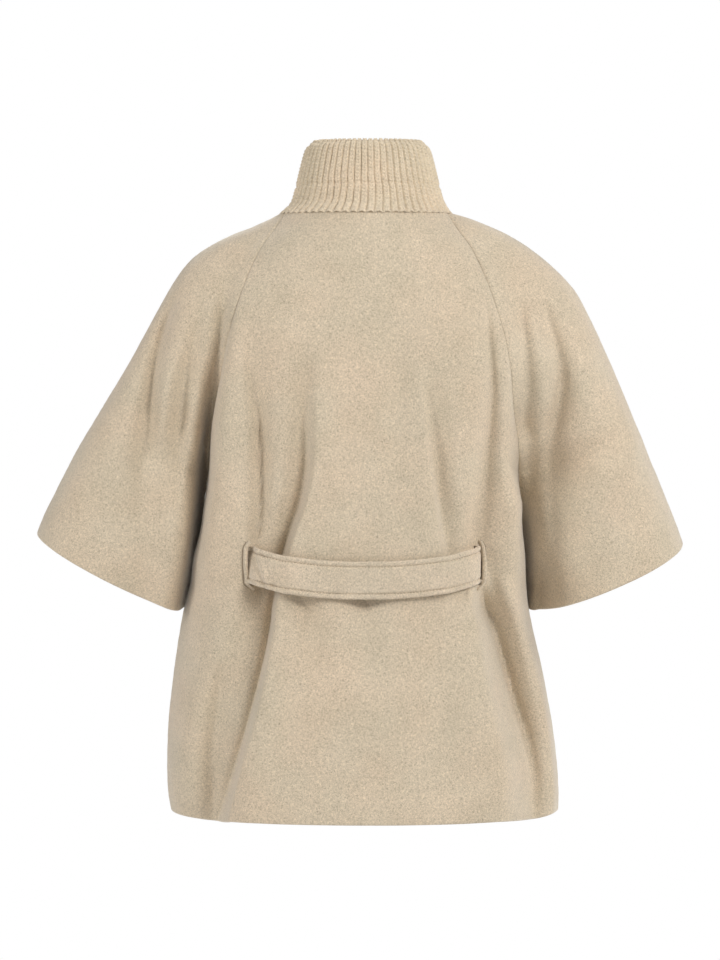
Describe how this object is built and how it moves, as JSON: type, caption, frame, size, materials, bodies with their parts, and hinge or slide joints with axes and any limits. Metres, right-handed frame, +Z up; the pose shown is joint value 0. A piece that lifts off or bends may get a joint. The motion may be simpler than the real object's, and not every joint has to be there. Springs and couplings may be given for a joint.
{
  "type": "short cape coat",
  "caption": "Short cape coat in felted wool with wide elbow-length raglan sleeves, a rib-knit stand collar and a back belt through bound slots.",
  "frame": {"origin": "centre of the neck ring, at the height of the collar's seam at the centre back, where the wearer's neck and shoulders hold the coat", "axes": "+Z up towards the collar; +Y out of the coat's back, so -Y out of its front; +X to the wearer's left"},
  "size_m": [0.743, 0.287, 0.7659],
  "materials": {
    "felted_wool": "matte felted wool, soft nap, oatmeal melange",
    "rib_knit": "matte rib knit, oatmeal melange"
  },
  "bodies": {
    "root": {"back": "felted_wool", "front_left": "felted_wool", "front_right": "felted_wool", "sleeve_back_left": "felted_wool", "sleeve_front_left": "felted_wool", "sleeve_back_right": "felted_wool", "sleeve_front_right": "felted_wool", "collar": "rib_knit", "belt": "felted_wool", "slot_lip_outer_left": "felted_wool", "slot_lip_inner_left": "felted_wool", "slot_lip_outer_right": "felted_wool", "slot_lip_inner_right": "felted_wool"}
  },
  "joints": []
}
